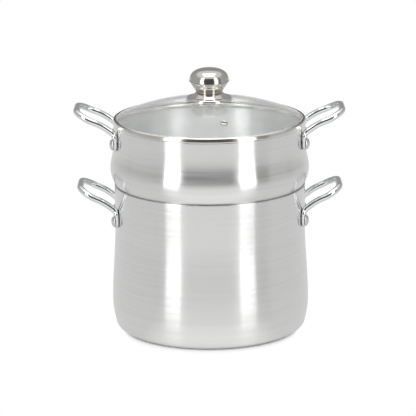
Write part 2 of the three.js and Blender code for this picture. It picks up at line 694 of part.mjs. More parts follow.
function buildLid() {
  const group = new THREE.Group();
  group.add(named('lid_glass', lidGlass(), clearGlass()));
  group.add(named('lid_rim_band', lidRimBand(), stainless()));
  group.add(placeAtVent(named('vent_eyelet', ventEyelet(), stainless())));
  group.add(named('knob_flange', knobFlange(), stainless()));
  group.add(named('knob_cup', knobCup(), stainless()));
  group.add(named('knob_cap', knobCap(), stainless()));
  group.add(named('knob_nut', knobNut(), zincSteel()));
  group.add(named('knob_screw', knobScrew(), zincSteel()));
  group.add(named('glass_grommet', glassGrommet(), silicone()));
  group.add(named('lower_gasket', screwRing(GASKET_DIAMETER, gasketTop, GASKET_THICKNESS), silicone()));
  group.add(named('screw_washer', screwRing(WASHER_DIAMETER, washerTop, WASHER_THICKNESS), zincSteel()));
  return group;
}

const couscoussier = new THREE.Group();
const steamer = buildSteamer();
const lid = buildLid();
steamer.position.z = steamerSeatHeight();
lid.position.z = steamer.position.z + STEAMER_HEIGHT + CLEARANCE;
couscoussier.add(buildPot(), steamer, lid);

export default couscoussier;
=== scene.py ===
from math import asin, cos, pi, radians, sin, sqrt, tan

import bpy
from mathutils import Matrix, Vector


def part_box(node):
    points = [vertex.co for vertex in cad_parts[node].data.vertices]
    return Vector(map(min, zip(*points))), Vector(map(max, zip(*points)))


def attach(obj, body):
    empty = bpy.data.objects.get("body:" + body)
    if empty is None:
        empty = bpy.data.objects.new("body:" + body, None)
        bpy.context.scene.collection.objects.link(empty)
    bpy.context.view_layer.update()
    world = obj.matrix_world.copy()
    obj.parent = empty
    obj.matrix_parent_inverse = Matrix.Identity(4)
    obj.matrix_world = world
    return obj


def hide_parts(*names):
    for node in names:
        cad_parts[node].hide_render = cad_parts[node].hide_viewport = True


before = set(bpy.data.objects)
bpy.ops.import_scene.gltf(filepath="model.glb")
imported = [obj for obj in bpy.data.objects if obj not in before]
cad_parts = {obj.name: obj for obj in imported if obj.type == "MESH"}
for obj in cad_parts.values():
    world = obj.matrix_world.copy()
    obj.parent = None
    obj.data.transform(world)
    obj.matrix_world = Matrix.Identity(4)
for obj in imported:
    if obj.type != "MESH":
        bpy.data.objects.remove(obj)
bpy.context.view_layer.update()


# Pot body
# A deep stock pot drawn from one disc of aluminium and polished on a lathe, which leaves fine
# lines round it. Its mouth is trimmed square, with the sharp edges taken off.
POT_WALL = 0.0022
POT_MOUTH = 0.1186
POT_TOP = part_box("pot_body")[1].z
POT_NECK = POT_TOP - 0.050  # where the upright wall below the mouth begins
POT_BELLY = (0.1230, 0.034)  # radius and height of the widest place
POT_CORNER = 0.008
POT_LEAN = 12.5  # degrees that the wall leans out where it leaves the base corner
POT_FLAT = 0.1114
POT_FOOT_HOLD = 0.36  # how far the wall holds its direction at the foot and at the neck
POT_WALL_HOLD = 0.33
POT_EDGE_ROUND = 0.0004


def arc(centre, radius, start, end, steps):
    """Points of a round from one angle to another, in degrees, as (radius, height)."""
    angles = [radians(start + (end - start) * i / steps) for i in range(steps + 1)]
    return [(centre[0] + radius * cos(a), centre[1] + radius * sin(a)) for a in angles]


def sweep(start, start_pull, end_pull, end, steps):
    """Points of a smooth curve that leaves start towards start_pull and reaches end from end_pull."""
    points = []
    for i in range(steps + 1):
        t = i / steps
        weights = ((1 - t) ** 3, 3 * t * (1 - t) ** 2, 3 * t * t * (1 - t), t ** 3)
        corners = (start, start_pull, end_pull, end)
        points.append(tuple(sum(w * c[k] for w, c in zip(weights, corners)) for k in (0, 1)))
    return points


def blank(name):
    """A new piece, one small square, left open in edit mode."""
    bpy.ops.object.select_all(action="DESELECT")
    bpy.ops.mesh.primitive_plane_add(size=0.01)
    piece = bpy.context.object
    piece.name = piece.data.name = name
    bpy.ops.object.mode_set(mode="EDIT")
    return piece


def turned(name, line, steps=144):
    """A skin turned about the Z axis from (radius, height) points."""
    piece = blank(name)
    bpy.ops.mesh.merge(type="CENTER")
    bpy.ops.transform.translate(value=(line[0][0], 0, line[0][1]))
    for here, there in zip(line, line[1:]):
        step = (there[0] - here[0], 0, there[1] - here[1])
        bpy.ops.mesh.extrude_vertices_move(TRANSFORM_OT_translate={"value": step})
    bpy.ops.mesh.select_all(action="SELECT")
    bpy.ops.mesh.spin(steps=steps, angle=2 * pi, center=(0, 0, 0), axis=(0, 0, 1))
    bpy.ops.mesh.select_all(action="SELECT")
    bpy.ops.mesh.remove_doubles(threshold=1e-6)
    bpy.ops.mesh.normals_make_consistent(inside=False)
    bpy.ops.object.mode_set(mode="OBJECT")
    return piece


def pick(piece):
    """Selects one piece and nothing else, for the operators that follow."""
    bpy.ops.object.select_all(action="DESELECT")
    piece.select_set(True)
    bpy.context.view_layer.objects.active = piece


def worked(piece, kind, **settings):
    """Finishes a piece with one modifier, applied."""
    pick(piece)
    modifier = piece.modifiers.new(kind.lower(), kind)
    for key, value in settings.items():
        setattr(modifier, key, value)
    bpy.ops.object.modifier_apply(modifier=modifier.name)


def smooth(piece, degrees=35):
    """Shades a piece smooth, apart from its sharp edges."""
    pick(piece)
    bpy.ops.object.shade_smooth_by_angle(angle=radians(degrees))


def fixed(piece, body, node, material):
    """Puts a finished piece on its body, in the place of its CAD node."""
    piece.data.materials.clear()
    piece.data.materials.append(material)
    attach(piece, body)
    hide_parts(node)


class Wire:
    """A socket of a material's nodes. Sums on it add Math nodes, and node() adds any other kind."""

    def __init__(self, tree, socket=None):
        self.tree = tree
        self.socket = socket

    def node(self, kind, settings=(), inputs=(), output=0):
        made = self.tree.nodes.new(kind)
        for key, value in dict(settings).items():
            if key == "stops":
                for place, _ in value[2:]:
                    made.color_ramp.elements.new(place)
                for stop, (place, tone) in zip(made.color_ramp.elements, sorted(value)):
                    stop.position = place
                    stop.color = (tone, tone, tone, 1)
            else:
                setattr(made, key, value)
        for key, value in dict(inputs).items():
            if isinstance(value, Wire):
                self.tree.links.new(value.socket, made.inputs[key])
            else:
                made.inputs[key].default_value = value
        return Wire(self.tree, made.outputs[output] if made.outputs else None)

    def other(self, output):
        return Wire(self.tree, self.socket.node.outputs[output])

    def sum(self, operation, first, second):
        return self.node("ShaderNodeMath", {"operation": operation}, {0: first, 1: second})

    def __add__(self, value):
        return self.sum("ADD", self, value)

    def __radd__(self, value):
        return self.sum("ADD", value, self)

    def __sub__(self, value):
        return self.sum("SUBTRACT", self, value)

    def __rsub__(self, value):
        return self.sum("SUBTRACT", value, self)

    def __mul__(self, value):
        return self.sum("MULTIPLY", self, value)

    def __rmul__(self, value):
        return self.sum("MULTIPLY", value, self)

    def __pow__(self, value):
        return self.sum("POWER", self, value)


def bare_material(name):
    """A new material with no nodes, and the wire to build them from."""
    material = bpy.data.materials.new(name)
    material.use_nodes = True
    material.node_tree.nodes.clear()
    return material, Wire(material.node_tree)


def ended(material, wire, shade):
    """Ends a material in one surface with these values or wires on its sockets."""
    surface = wire.node("ShaderNodeBsdfPrincipled", (), shade)
    wire.node("ShaderNodeOutputMaterial", (), {"Surface": surface})
    return material


def colour_between(wire, factor, dark, light):
    """A colour that runs from dark to light with a factor."""
    ends = {0: factor, 6: dark if isinstance(dark, Wire) else (*dark, 1),
            7: light if isinstance(light, Wire) else (*light, 1)}
    return wire.node("ShaderNodeMix", {"data_type": "RGBA"}, ends, 2)


def turned_metal(name, dark, light, roughness, lines, anisotropy, inside=0.0):
    """Metal finished on a lathe: fine lines and broader rings round the Z axis, and reflections drawn
    out across them. Faces turned to the axis are rougher by the amount of inside, and painted paler by it as
    painted light on the inner wall."""
    material, wire = bare_material(name)
    place = wire.node("ShaderNodeTexCoord", output="Object")
    x = wire.node("ShaderNodeSeparateXYZ", (), {0: place})
    y, z = x.other("Y"), x.other("Z")
    facing = wire.node("ShaderNodeSeparateXYZ", (), {0: place.other("Normal")})
    inward = facing.other("Z") * 0.05 - x * facing - y * facing.other("Y")
    inner = inside * wire.node(
        "ShaderNodeMapRange", (), {"Value": inward, "From Min": -0.01, "From Max": 0.01})
    run = (x * x + y * y) ** 0.5 + z
    grain = wire.node("ShaderNodeCombineXYZ", (), {0: x * 9, 1: y * 9, 2: run * lines})
    fine = wire.node("ShaderNodeTexNoise", (), {"Vector": grain, "Scale": 1, "Detail": 5, "Roughness": 0.7})
    broad = wire.node("ShaderNodeTexNoise", (), {"Vector": place, "Scale": 14, "Detail": 3})
    coarse = wire.node("ShaderNodeTexNoise", (), {"Vector": grain, "Scale": 0.4, "Detail": 2})
    cut = wire.node("ShaderNodeMapRange", (), {"Value": fine, "From Min": 0.3, "From Max": 0.7})
    ring = wire.node("ShaderNodeMapRange", (), {"Value": coarse, "From Min": 0.35, "From Max": 0.65})
    mark = cut * 0.5 + ring * 0.2 + broad * 0.3
    ground = wire.node("ShaderNodeBump", (), {"Strength": 0.08, "Distance": 0.0003, "Height": fine})
    shade = {
        # Painted light: faces turned to the axis take a paler copy of the colours, so that the inside reads
        # brighter.
        "Base Color": colour_between(wire, inner, *(
            colour_between(wire, mark, *(tuple(c * painted_lift for c in tone) for tone in (dark, light)))
            for painted_lift in (1, 1.2))),
        "Metallic": 1,
        "Roughness": roughness[0] + mark * (roughness[1] - roughness[0]) + inner * 0.24,
        "Anisotropic": anisotropy,
        "Anisotropic Rotation": 0.25,
        "Normal": ground,
    }
    return ended(material, wire, shade)


# Its inside faces are painted paler, as painted light on the inner wall.
vessel_aluminium = turned_metal(
    "turned_aluminium", (0.70, 0.70, 0.695), (0.83, 0.83, 0.825), (0.18, 0.27), 650, 1, 1)

pot_corner = arc((POT_FLAT, POT_CORNER), POT_CORNER, -90, -POT_LEAN, 8)
pot_foot = pot_corner[-1]
foot_pull = POT_FOOT_HOLD * (POT_BELLY[1] - pot_foot[1])
wall_pull = POT_WALL_HOLD * (POT_NECK - POT_BELLY[1])
foot_way = (pot_foot[0] + foot_pull * sin(radians(POT_LEAN)),
            pot_foot[1] + foot_pull * cos(radians(POT_LEAN)))
pot_lower = sweep(pot_foot, foot_way, (POT_BELLY[0], POT_BELLY[1] - foot_pull), POT_BELLY, 10)
pot_upper = sweep(POT_BELLY, (POT_BELLY[0], POT_BELLY[1] + wall_pull),
                  (POT_MOUTH, POT_NECK - wall_pull), (POT_MOUTH, POT_NECK), 14)
pot_line = [(0, 0), (POT_FLAT * 0.5, 0), (POT_FLAT * 0.9, 0)]
pot_line += [*pot_corner, *pot_lower[1:], *pot_upper[1:]]
# Points close together below the mouth keep the wall's shading upright there.
pot_line += [(POT_MOUTH, POT_TOP - drop) for drop in (0.032, 0.015, 0.004, 0.0015, 0)]
pot_body = turned("pot_shell", pot_line)
worked(pot_body, "SOLIDIFY", thickness=POT_WALL, offset=-1, use_even_offset=True)
worked(pot_body, "BEVEL", width=POT_EDGE_ROUND, segments=4, limit_method="ANGLE",
       angle_limit=radians(60))
smooth(pot_body)
fixed(pot_body, "pot", "pot_body", vessel_aluminium)


# Pot handles
# Each is one length of steel rod bent to a loop and chromed. Its ends are turned down and pressed
# to flat tabs, which lie against the wall and take a rivet each.
ROD = 0.008
LEG_APART = 0.066
LOOP_CORNER = 0.020
ROOT_BEND = 0.010
LEG_BOW = 0.0013  # how far a leg's middle rises from a straight line
TAB_THICK = 0.004
TAB_WIDE = 0.014
TAB_REACH = 0.00815  # from the rivet to either end of the flat tab
SEAT_GAP = 0.0003
ROOT_STEPS = 8
CORNER_STEPS = 10
POT_RIVET_HEIGHT = POT_TOP - 0.0413
POT_HANDLE_TILT = 30
POT_HANDLE_LENGTH = 0.0515


def tab_seat(wall_radius):
    """Radius of a tab's middle, and how far round from the handle's line it sits."""
    radius = wall_radius + SEAT_GAP + TAB_THICK / 2
    return radius, asin(LEG_APART / 2 / radius)


def rod_ring(centre, thin, wide, thickness, width):
    """One ring of the rod in the mesh being edited: a square with its corners rounded right over."""
    turn = Matrix((thin, wide, thin.cross(wide))).transposed()
    bpy.ops.mesh.primitive_plane_add(size=1, location=centre, rotation=turn.to_euler())
    bpy.ops.transform.resize(value=(thickness, width, 1), center_override=centre,
                             orient_type="LOCAL", orient_matrix=turn, orient_matrix_type="LOCAL")
    bpy.ops.mesh.bevel(affect="VERTICES", offset=0.48 * min(thickness, width), segments=5)
    bpy.ops.mesh.delete(type="ONLY_FACE")


def rod_path(wall_radius, rivet_height, tilt, length):
    """Rings of the front half of a loop, from the end of its tab to the middle of the end bar."""
    radius, azimuth = tab_seat(wall_radius)
    x, y, z = radius * cos(azimuth), -LEG_APART / 2, rivet_height + TAB_REACH
    lean = radians(tilt)
    outwards, across = Vector((1, 0, 0)), Vector((0, 1, 0))
    rings = []

    def add(centre, outward, thickness, width):
        twist = azimuth * (ROD - thickness) / (ROD - TAB_THICK)
        thin = outward * cos(twist) - across * sin(twist)
        wide = across * cos(twist) + outward * sin(twist)
        rings.append((Vector(centre), thin, wide, thickness, width))

    for degrees in (9, 25, 42, 60, 80):
        rounding = radians(degrees)
        rise = TAB_WIDE / 2 * (1 - cos(rounding))
        add((x, y, rivet_height - TAB_REACH + rise), outwards, TAB_THICK, TAB_WIDE * sin(rounding))
    add((x, y, rivet_height), outwards, TAB_THICK, TAB_WIDE)
    turn = pi / 2 - lean
    for i in range(ROOT_STEPS + 1):
        bend = turn * i / ROOT_STEPS
        lift = ROOT_BEND * (1 - cos(bend))
        thickness = min(ROD, (TAB_THICK + 2 * lift) / cos(bend))
        width = TAB_WIDE + (ROD - TAB_WIDE) * (thickness - TAB_THICK) / (ROD - TAB_THICK)
        centre = (x + lift, y, z + ROOT_BEND * sin(bend))
        add(centre, Vector((cos(bend), 0, -sin(bend))), thickness, width)
    along = Vector((cos(lean), 0, sin(lean)))
    below = Vector((sin(lean), 0, -cos(lean)))
    crossing = Vector((x, y, z + ROOT_BEND * tan(turn / 2)))
    middle = crossing + along * (length - LOOP_CORNER) + across * LOOP_CORNER
    leg_start = rings[-1][0]
    leg_end = middle - across * LOOP_CORNER
    for share in (0.2, 0.4, 0.6, 0.8):
        add(leg_start.lerp(leg_end, share) - below * LEG_BOW * sin(pi * share), below, ROD, ROD)
    for i in range(CORNER_STEPS + 1):
        bend = pi / 2 * i / CORNER_STEPS
        centre = middle + (along * sin(bend) - across * cos(bend)) * LOOP_CORNER
        sideways = along * -cos(bend) - across * sin(bend)
        rings.append((centre, below, sideways.cross(below), ROD, ROD))
    bar = middle + along * LOOP_CORNER
    rings.append((Vector((bar.x, bar.y / 2, bar.z)), below, along, ROD, ROD))
    return rings


def rod_loop(name, rings):
    """A whole handle on the +X side, the rear half mirrored from the front."""
    mirror = Matrix.Diagonal((1, -1, 1))
    rear = [(mirror @ c, mirror @ thin, mirror @ wide, t, w) for c, thin, wide, t, w in reversed(rings)]
    piece = blank(name)
    bpy.ops.mesh.delete(type="VERT")
    for ring in [*rings, *rear]:
        rod_ring(*ring)
    bpy.ops.mesh.select_all(action="SELECT")
    bpy.ops.mesh.bridge_edge_loops()
    bpy.ops.mesh.select_all(action="SELECT")
    bpy.ops.mesh.fill_holes(sides=0)
    bpy.ops.mesh.select_all(action="SELECT")
    bpy.ops.mesh.normals_make_consistent(inside=False)
    bpy.ops.object.mode_set(mode="OBJECT")
    worked(piece, "SUBSURF", levels=1, render_levels=1)
    smooth(piece, 60)
    return piece


def turned_copy(piece, name, angle):
    """A copy of a piece with its own mesh, turned about the vessel's axis."""
    pick(piece)
    bpy.ops.object.duplicate()
    copy = bpy.context.object
    copy.name = copy.data.name = name
    copy.rotation_euler.z = angle
    bpy.ops.object.transform_apply(location=True, rotation=True, scale=True)
    return copy


def mirror_chrome():
    """Bright plating with the faint waviness of bent and buffed rod."""
    material, wire = bare_material("mirror_chrome")
    place = wire.node("ShaderNodeTexCoord", output="Object")
    cloud = wire.node("ShaderNodeTexNoise", (), {"Vector": place, "Scale": 60, "Detail": 4})
    wave = wire.node("ShaderNodeTexNoise", (), {"Vector": place, "Scale": 220, "Detail": 2})
    shade = {
        "Base Color": colour_between(wire, cloud, (0.72, 0.73, 0.74), (0.84, 0.85, 0.86)),
        "Metallic": 1,
        "Roughness": 0.02 + cloud * 0.05,
        "Normal": wire.node("ShaderNodeBump", (), {"Strength": 0.05, "Distance": 0.0004, "Height": wave}),
    }
    return ended(material, wire, shade)


chrome = mirror_chrome()
pot_handle_right = rod_loop("pot_loop_right", rod_path(
    POT_MOUTH, POT_RIVET_HEIGHT, POT_HANDLE_TILT, POT_HANDLE_LENGTH))
pot_handle_left = turned_copy(pot_handle_right, "pot_loop_left", pi)
fixed(pot_handle_right, "pot", "pot_handle_right", chrome)
fixed(pot_handle_left, "pot", "pot_handle_left", chrome)


# Pot rivets
# Solid aluminium rivets, one through each tab and the wall. The mushroom head is outside, and the
# end inside is struck down to a low round head.
RIVET_SHANK = 0.002
RIVET_HEAD = 0.00675
RIVET_CROWN = 0.0035
RIVET_EDGE = 0.0003
UPSET_HEAD = 0.005
UPSET_RISE = 0.0016
UPSET_ROUND = 0.0008


def rivet(name, wall_radius, wall, height):
    """A rivet on the +X axis at a height, with its head outside the tab."""
    outer = wall_radius + 2 * SEAT_GAP + TAB_THICK
    inner = sqrt((wall_radius - wall) ** 2 - UPSET_HEAD ** 2) - SEAT_GAP
    low = inner - UPSET_RISE
    line = [(0, low), (UPSET_HEAD - 1.5 * UPSET_ROUND, low)]
    line += arc((UPSET_HEAD - UPSET_ROUND, low + UPSET_ROUND), UPSET_ROUND, -60, 0, 4)
    line += [(UPSET_HEAD, inner), (RIVET_SHANK, inner), (RIVET_SHANK, outer)]
    line += [(RIVET_HEAD - RIVET_EDGE, outer), (RIVET_HEAD, outer + RIVET_EDGE)]
    line += [(RIVET_HEAD * cos(radians(a)), outer + RIVET_CROWN * sin(radians(a))) for a in range(12, 91, 6)]
    piece = turned(name, [*line[:-1], (0, line[-1][1])], 40)
    piece.rotation_euler.y = pi / 2
    piece.location.z = height
    bpy.ops.object.transform_apply(location=True, rotation=True, scale=True)
    smooth(piece, 40)
    return piece


def satin_aluminium():
    """Soft aluminium as it comes from the heading tool, with small dents from striking."""
    material, wire = bare_material("satin_aluminium")
    place = wire.node("ShaderNodeTexCoord", output="Object")
    dents = wire.node("ShaderNodeTexNoise", (), {"Vector": place, "Scale": 350, "Detail": 3})
    shade = {
        "Base Color": colour_between(wire, dents, (0.62, 0.62, 0.60), (0.78, 0.78, 0.76)),
        "Metallic": 1,
        "Roughness": 0.22 + dents * 0.2,
        "Normal": wire.node("ShaderNodeBump", (), {"Strength": 0.2, "Distance": 0.0004, "Height": dents}),
    }
    return ended(material, wire, shade)


rivet_aluminium = satin_aluminium()


def four_rivets(vessel, wall_radius, wall, height):
    """The rivets of one vessel, two to a handle."""
    azimuth = tab_seat(wall_radius)[1]
    first = rivet("rivet_blank", wall_radius, wall, height)
    places = {"right_front": -azimuth, "right_rear": azimuth,
              "left_front": pi + azimuth, "left_rear": pi - azimuth}
    for place, angle in places.items():
        copy = turned_copy(first, f"{vessel}_stud_{place}", angle)
        fixed(copy, vessel, f"{vessel}_rivet_{place}", rivet_aluminium)
    bpy.data.objects.remove(first)


four_rivets("pot", POT_MOUTH, POT_WALL, POT_RIVET_HEIGHT)


# Steamer body
# The upper vessel, drawn like the pot. Its wide rounded corner sits in the pot's mouth, its wall swells
# to a belly above it, and its flat base is punched with rings of steam holes.
STEAMER_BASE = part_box("steamer_body")[0].z
STEAMER_WALL = 0.002
STEAMER_MOUTH = 0.1188
STEAMER_BELLY = 0.1234
STEAMER_CORNER = 0.036
STEAMER_HEIGHT = 0.0915
STEAMER_NECK = 0.0745  # where the upright wall below the mouth begins, over the base
STEAMER_BELLY_HOLD = 0.3  # how far the wall holds its direction at the belly and at the neck
STEAMER_NECK_HOLD = 0.62
STEAMER_EDGE_ROUND = 0.0008
STEAM_HOLE = 0.0025
STEAM_PITCH = 0.018
STEAM_RINGS = 4
PUNCH_DEPTH = 0.012

steamer_flat = STEAMER_BELLY - STEAMER_CORNER
steamer_corner = arc((steamer_flat, STEAMER_CORNER), STEAMER_CORNER, -90, 0, 18)
shoulder = STEAMER_NECK - STEAMER_CORNER
steamer_wall = sweep((STEAMER_BELLY, STEAMER_CORNER),
                     (STEAMER_BELLY, STEAMER_CORNER + STEAMER_BELLY_HOLD * shoulder),
                     (STEAMER_MOUTH, STEAMER_NECK - STEAMER_NECK_HOLD * shoulder),
                     (STEAMER_MOUTH, STEAMER_NECK), 16)
steamer_line = [*steamer_corner, *steamer_wall[1:]]
steamer_line += [(STEAMER_MOUTH, STEAMER_HEIGHT - drop) for drop in (0.0085, 0.004, 0.0015, 0)]
steamer_body = turned("steamer_shell", [(r, z + STEAMER_BASE) for r, z in steamer_line])
bpy.ops.object.mode_set(mode="EDIT")
bpy.ops.mesh.select_all(action="DESELECT")
bpy.ops.object.mode_set(mode="OBJECT")
for vertex in steamer_body.data.vertices:
    vertex.select = vertex.co.z < STEAMER_BASE + 1e-5
bpy.ops.object.mode_set(mode="EDIT")
bpy.ops.mesh.edge_face_add()
bpy.ops.mesh.select_all(action="SELECT")
bpy.ops.mesh.normals_make_consistent(inside=False)
bpy.ops.object.mode_set(mode="OBJECT")
worked(steamer_body, "SOLIDIFY", thickness=STEAMER_WALL, offset=-1, use_even_offset=True)
worked(steamer_body, "BEVEL", width=STEAMER_EDGE_ROUND, segments=4, limit_method="ANGLE",
       angle_limit=radians(60))


def steam_punch(x, y):
    """One round punch through the steamer's base."""
    bpy.ops.mesh.primitive_cylinder_add(
        vertices=20, radius=STEAM_HOLE, depth=PUNCH_DEPTH, location=(x, y, STEAMER_BASE))


bpy.ops.object.select_all(action="DESELECT")
steam_punch(0, 0)
punch = bpy.context.object
bpy.ops.object.mode_set(mode="EDIT")
for ring in range(1, STEAM_RINGS + 1):
    for i in range(6 * ring):
        angle = 2 * pi * i / (6 * ring)
        steam_punch(ring * STEAM_PITCH * cos(angle), ring * STEAM_PITCH * sin(angle))
bpy.ops.object.mode_set(mode="OBJECT")
worked(steamer_body, "BOOLEAN", operation="DIFFERENCE", object=punch, solver="EXACT")
bpy.data.objects.remove(punch)
smooth(steamer_body)
fixed(steamer_body, "steamer", "steamer_body", vessel_aluminium)


# Steamer handles and rivets
# The same bent rod and rivets as the pot's, set a little flatter and riveted close below the mouth.
STEAMER_RIVET_RISE = 0.0709  # from the steamer's base up to the rivets
STEAMER_RIVET_HEIGHT = STEAMER_BASE + STEAMER_RIVET_RISE
STEAMER_SEAT = max(r for r, z in steamer_line if z > STEAMER_RIVET_RISE - TAB_REACH)
STEAMER_HANDLE_TILT = 27.5
STEAMER_HANDLE_LENGTH = 0.0526

steamer_handle_right = rod_loop("steamer_loop_right", rod_path(
    STEAMER_SEAT, STEAMER_RIVET_HEIGHT, STEAMER_HANDLE_TILT, STEAMER_HANDLE_LENGTH))
steamer_handle_left = turned_copy(steamer_handle_right, "steamer_loop_left", pi)
fixed(steamer_handle_right, "steamer", "steamer_handle_right", chrome)
fixed(steamer_handle_left, "steamer", "steamer_handle_left", chrome)
four_rivets("steamer", STEAMER_SEAT, STEAMER_WALL, STEAMER_RIVET_HEIGHT)


# Lid glass
# A disc of clear tempered glass, pressed hot to a shallow dome. Its edge is ground round, and it is
# bored for the knob's screw and for the steam vent.
LID_GAP = 0.0003  # between the lid's pieces, and under the lid
LID_REST = STEAMER_BASE + STEAMER_HEIGHT + LID_GAP
GLASS_EDGE = 0.1189
GLASS_THICK = 0.003
GLASS_RISE = 0.0252
GLASS_SEAT = 0.0011  # height of the hollow face's edge over the steamer's rim
GROUND_INSET = 0.0008  # the ground edge, inwards and down
GROUND_DROP = 0.001
GLASS_STEPS = 26
KNOB_BORE = 0.0047
VENT_BORE = 0.0031
VENT_AZIMUTH = radians(-78.2)
VENT_INSET = 0.0334  # from the edge of the glass in to the vent
VENT_PUNCH = 0.05

crown_radius = (GLASS_EDGE ** 2 + GLASS_RISE ** 2) / (2 * GLASS_RISE)
hollow_radius = crown_radius - GLASS_THICK
dome_centre = LID_REST + GLASS_SEAT - sqrt(hollow_radius ** 2 - GLASS_EDGE ** 2)
vent_lean = asin((GLASS_EDGE - VENT_INSET) / crown_radius)


def dome(radius, r):
    """Height of a sphere about the dome's centre at a distance from the axis."""
    return dome_centre + sqrt(radius ** 2 - r ** 2)


def at_vent(piece):
    """Leans a piece that stands on the dome's centre out to the steam vent."""
    piece.rotation_euler = (0, vent_lean, VENT_AZIMUTH)
    piece.location.z = dome_centre
    bpy.ops.object.transform_apply(location=True, rotation=True, scale=True)


glass_span = GLASS_EDGE - GROUND_INSET - KNOB_BORE
glass_radii = [KNOB_BORE + glass_span * i / GLASS_STEPS for i in range(GLASS_STEPS + 1)]
glass_line = [(r, dome(hollow_radius, r)) for r in glass_radii]
glass_low, glass_high = dome(hollow_radius, GLASS_EDGE), dome(crown_radius, GLASS_EDGE)
glass_line += [(GLASS_EDGE, glass_low + GROUND_DROP), (GLASS_EDGE, glass_high - GROUND_DROP)]
glass_line += [(r, dome(crown_radius, r)) for r in reversed(glass_radii)]
lid_glass = turned("lid_dome", [*glass_line, glass_line[0]])
bpy.ops.object.select_all(action="DESELECT")
bpy.ops.mesh.primitive_cylinder_add(
    vertices=32, radius=VENT_BORE, depth=VENT_PUNCH, location=(0, 0, crown_radius))
bpy.ops.object.transform_apply(location=True, rotation=True, scale=True)
punch = bpy.context.object
at_vent(punch)
worked(lid_glass, "BOOLEAN", operation="DIFFERENCE", object=punch, solver="EXACT")
bpy.data.objects.remove(punch)
smooth(lid_glass, 50)


def clear_glass():
    """Clear soda glass with the faint green of its body and a trace of wiping marks."""
    material, wire = bare_material("clear_glass")
    place = wire.node("ShaderNodeTexCoord", output="Object")
    wiped = wire.node("ShaderNodeTexNoise", (), {"Vector": place, "Scale": 25, "Detail": 4})
    shade = {
        "Base Color": colour_between(wire, wiped, (0.965, 0.98, 0.975), (0.985, 0.995, 0.99)),
        "Roughness": wiped * 0.02,
        "IOR": 1.5,
        "Transmission Weight": 1,
    }
    body = wire.node("ShaderNodeBsdfPrincipled", (), shade)
    clear = wire.node("ShaderNodeBsdfTransparent", (), {"Color": (0.95, 0.97, 0.96, 1)})
    lamp_ray = wire.node("ShaderNodeLightPath", output="Is Shadow Ray")
    surface = wire.node("ShaderNodeMixShader", (), {0: lamp_ray, 1: body, 2: clear})
    wire.node("ShaderNodeOutputMaterial", (), {"Surface": surface})
    return material


fixed(lid_glass, "lid", "lid_glass", clear_glass())


# Lid rim band
# A strip of stainless steel rolled round the edge of the glass and polished. Its flange laps over the
# glass, and its lip is turned down to drop into the steamer's mouth.
BAND_SHEET = 0.00045
BAND_EDGE = 0.120
BAND_COVER = 0.0022  # how far the flange reaches in from the band's edge
BAND_LEAN = 12  # degrees that the band's face leans in
FOOT_ROUND = 0.0007
FOOT_RISE = 0.0008  # centre of the foot's round over the steamer's rim
SHOULDER_ROUND = 0.0015
SHOULDER_INSET = 0.0022  # centre of the shoulder's round, in from the band's face
SHOULDER_RISE = 0.0039
LIP_RADIUS = 0.1154
LIP_DEPTH = 0.005
LIP_ROUND = 0.0008

band_half = BAND_SHEET / 2
band_wall = BAND_EDGE - band_half
band_floor = LID_REST + band_half
band_sphere = crown_radius + LID_GAP + band_half
band_line = [
    (LIP_RADIUS, band_floor - LIP_DEPTH),
    (LIP_RADIUS, band_floor - LIP_ROUND),
    *arc((LIP_RADIUS + LIP_ROUND, band_floor - LIP_ROUND), LIP_ROUND, 150, 90, 3),
    *arc((band_wall - FOOT_ROUND, LID_REST + FOOT_RISE), FOOT_ROUND, -60, BAND_LEAN, 5),
    *arc((band_wall - SHOULDER_INSET, LID_REST + SHOULDER_RISE), SHOULDER_ROUND, BAND_LEAN, 66, 7),
    (BAND_EDGE - BAND_COVER, dome(band_sphere, BAND_EDGE - BAND_COVER)),
]
lid_rim_band = turned("lid_band", band_line)
worked(lid_rim_band, "SOLIDIFY", thickness=BAND_SHEET, offset=0, use_even_offset=True)
smooth(lid_rim_band, 50)
bright_steel = turned_metal(
    "bright_steel", (0.74, 0.715, 0.67), (0.86, 0.835, 0.79), (0.12, 0.19), 900, 0.3)
fixed(lid_rim_band, "lid", "lid_rim_band", bright_steel)


# Vent eyelet
# A small stainless eyelet set through the glass. Its rounded collar shows above, and its tube is
# flared below so that it can't come out.
VENT_HOLE = 0.0021
VENT_TUBE = 0.0028
FLARE_RADIUS = 0.0041
FLARE_THICK = 0.0007
COLLAR_MIDDLE = 0.00345
COLLAR_HALF = 0.00135
COLLAR_RISE = 0.0009

polished_steel = turned_metal(
    "polished_steel", (0.60, 0.585, 0.555), (0.72, 0.705, 0.675), (0.1, 0.17), 900, 0.3)
vent_above, vent_below = crown_radius + LID_GAP, hollow_radius - LID_GAP
vent_line = [
    (VENT_HOLE, vent_below - FLARE_THICK), (FLARE_RADIUS, vent_below - FLARE_THICK),
    (FLARE_RADIUS, vent_below), (VENT_TUBE, vent_below), (VENT_TUBE, vent_above),
]
for degrees in range(0, 181, 15):
    angle = radians(degrees)
    vent_line.append((COLLAR_MIDDLE + COLLAR_HALF * cos(angle), vent_above + COLLAR_RISE * sin(angle)))
vent_eyelet = turned("vent_grommet", [*vent_line, vent_line[0]], 40)
at_vent(vent_eyelet)
smooth(vent_eyelet, 40)
fixed(vent_eyelet, "lid", "vent_eyelet", polished_steel)


